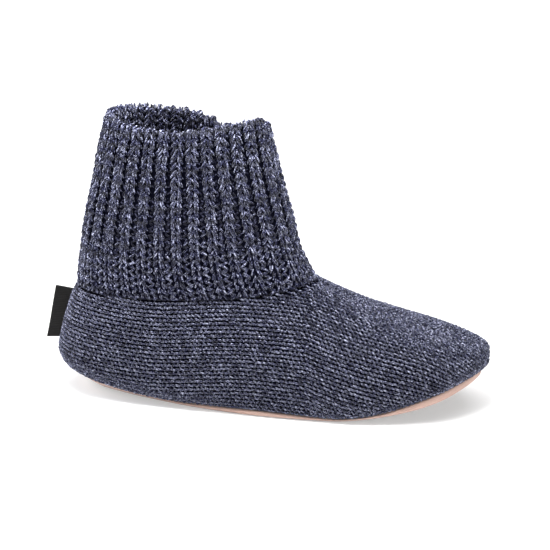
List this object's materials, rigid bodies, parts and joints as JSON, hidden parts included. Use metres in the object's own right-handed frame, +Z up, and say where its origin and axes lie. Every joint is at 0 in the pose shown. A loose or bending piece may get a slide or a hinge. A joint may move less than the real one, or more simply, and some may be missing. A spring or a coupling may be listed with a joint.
{
  "type": "bootie slipper",
  "caption": "Knitted bootie slipper for the right foot: ribbed cuff with a folded rim, stockinette foot, thin turned-up suede sole and a ribbon tab at the heel",
  "frame": {"origin": "middle of the bounding box, on the floor plane that the sole stands on", "axes": "+X towards the toe, +Y towards the inner (big-toe) side, +Z up out of the collar"},
  "size_m": [0.2928, 0.0984, 0.1875],
  "materials": {
    "suede": "matte napped suede, peach pink",
    "lining": "matte brushed grey pad",
    "foot_yarn": "matte marled navy and grey wool, stockinette",
    "cuff_yarn": "matte marled navy and grey wool, rib knit",
    "ribbon": "slight sheen, woven black ribbon"
  },
  "bodies": {
    "root": {"sole": "suede", "insole": "lining", "foot": "foot_yarn", "cuff": "cuff_yarn", "heel_tab": "ribbon"}
  },
  "joints": []
}
